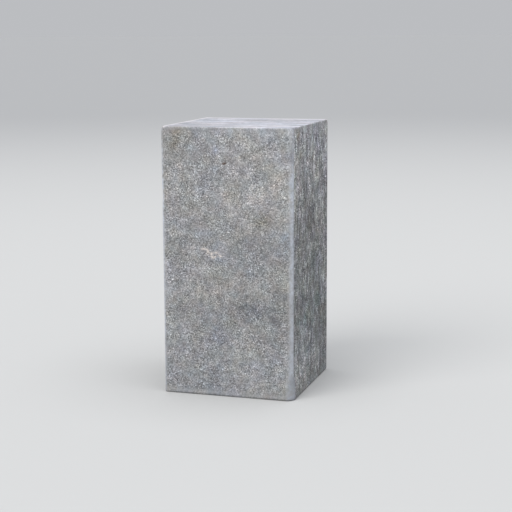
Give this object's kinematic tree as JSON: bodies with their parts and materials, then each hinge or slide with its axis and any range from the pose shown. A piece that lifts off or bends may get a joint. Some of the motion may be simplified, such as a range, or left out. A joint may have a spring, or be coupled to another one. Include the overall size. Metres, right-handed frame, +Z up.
{
  "type": "stone pedestal",
  "caption": "Solid square stone plinth block, twice as high as wide, with eased arrises, narrow smooth margins and bush-hammered sides, to carry a statue, urn or column.",
  "frame": {"origin": "middle of the underside, on the ground", "axes": "+Z up along the block's height, -Y towards the front, +X towards the right side"},
  "size_m": [0.4, 0.4, 0.8],
  "materials": {
    "stone": "bush-hammered grey limestone with paler worn arrises and a smoother top"
  },
  "bodies": {
    "root": {"plinth_block": "stone"}
  },
  "joints": []
}
